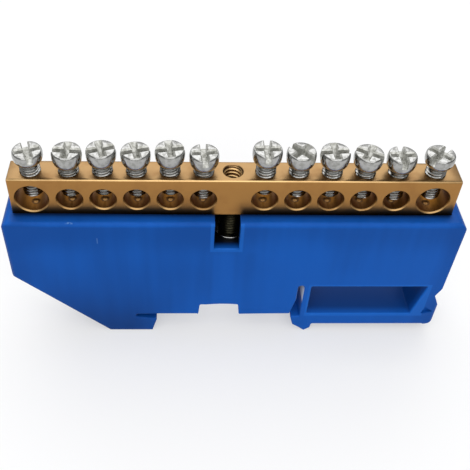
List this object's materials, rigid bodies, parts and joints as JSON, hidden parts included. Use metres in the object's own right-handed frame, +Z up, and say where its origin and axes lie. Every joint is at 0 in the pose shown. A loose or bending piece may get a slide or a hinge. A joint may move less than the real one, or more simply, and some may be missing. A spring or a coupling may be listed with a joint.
{
  "type": "neutral terminal bar",
  "caption": "Drilled brass terminal bar with clamping screws on a blue moulded holder with a fixed hook and a sprung catch that snaps onto a 35 mm rail.",
  "frame": {"origin": "middle of the 35 mm rail, on the plane of its top face where the holder's pads seat", "axes": "+X along the bar towards the sprung catch, +Y along the rail away from the front with the recess, +Z up towards the terminal screws"},
  "size_m": [0.0928, 0.012, 0.0481],
  "materials": {
    "blue_plastic": "moulded nylon, satin, blue",
    "brass": "drawn brass, satin",
    "zinc": "bright zinc plate",
    "fixing_steel": "dark burnished steel"
  },
  "bodies": {
    "bar_on_holder": {"holder": "blue_plastic", "terminal_bar": "brass", "fixing_screw": "fixing_steel", "fixing_washer": "zinc"},
    "screw_01": {"terminal_screw_01": "zinc"},
    "screw_02": {"terminal_screw_02": "zinc"},
    "screw_03": {"terminal_screw_03": "zinc"},
    "screw_04": {"terminal_screw_04": "zinc"},
    "screw_05": {"terminal_screw_05": "zinc"},
    "screw_06": {"terminal_screw_06": "zinc"},
    "screw_07": {"terminal_screw_07": "zinc"},
    "screw_08": {"terminal_screw_08": "zinc"},
    "screw_09": {"terminal_screw_09": "zinc"},
    "screw_10": {"terminal_screw_10": "zinc"},
    "screw_11": {"terminal_screw_11": "zinc"},
    "screw_12": {"terminal_screw_12": "zinc"}
  },
  "joints": [
    {"name": "screw_01_travel", "type": "slide", "parent": "bar_on_holder", "child": "screw_01", "axis": [0, 0, 1], "range_m": [-0.00207, 0.00375]},
    {"name": "screw_02_travel", "type": "slide", "parent": "bar_on_holder", "child": "screw_02", "axis": [0, 0, 1], "range_m": [-0.00124, 0.00305]},
    {"name": "screw_03_travel", "type": "slide", "parent": "bar_on_holder", "child": "screw_03", "axis": [0, 0, 1], "range_m": [-0.00164, 0.00265]},
    {"name": "screw_04_travel", "type": "slide", "parent": "bar_on_holder", "child": "screw_04", "axis": [0, 0, 1], "range_m": [-0.00134, 0.00295]},
    {"name": "screw_05_travel", "type": "slide", "parent": "bar_on_holder", "child": "screw_05", "axis": [0, 0, 1], "range_m": [-0.00174, 0.00255]},
    {"name": "screw_06_travel", "type": "slide", "parent": "bar_on_holder", "child": "screw_06", "axis": [0, 0, 1], "range_m": [-0.00094, 0.00335]},
    {"name": "screw_07_travel", "type": "slide", "parent": "bar_on_holder", "child": "screw_07", "axis": [0, 0, 1], "range_m": [-0.00194, 0.00235]},
    {"name": "screw_08_travel", "type": "slide", "parent": "bar_on_holder", "child": "screw_08", "axis": [0, 0, 1], "range_m": [-0.00144, 0.00285]},
    {"name": "screw_09_travel", "type": "slide", "parent": "bar_on_holder", "child": "screw_09", "axis": [0, 0, 1], "range_m": [-0.00144, 0.00285]},
    {"name": "screw_10_travel", "type": "slide", "parent": "bar_on_holder", "child": "screw_10", "axis": [0, 0, 1], "range_m": [-0.00114, 0.00315]},
    {"name": "screw_11_travel", "type": "slide", "parent": "bar_on_holder", "child": "screw_11", "axis": [0, 0, 1], "range_m": [-0.00074, 0.00355]},
    {"name": "screw_12_travel", "type": "slide", "parent": "bar_on_holder", "child": "screw_12", "axis": [0, 0, 1], "range_m": [-0.00187, 0.00395]}
  ]
}
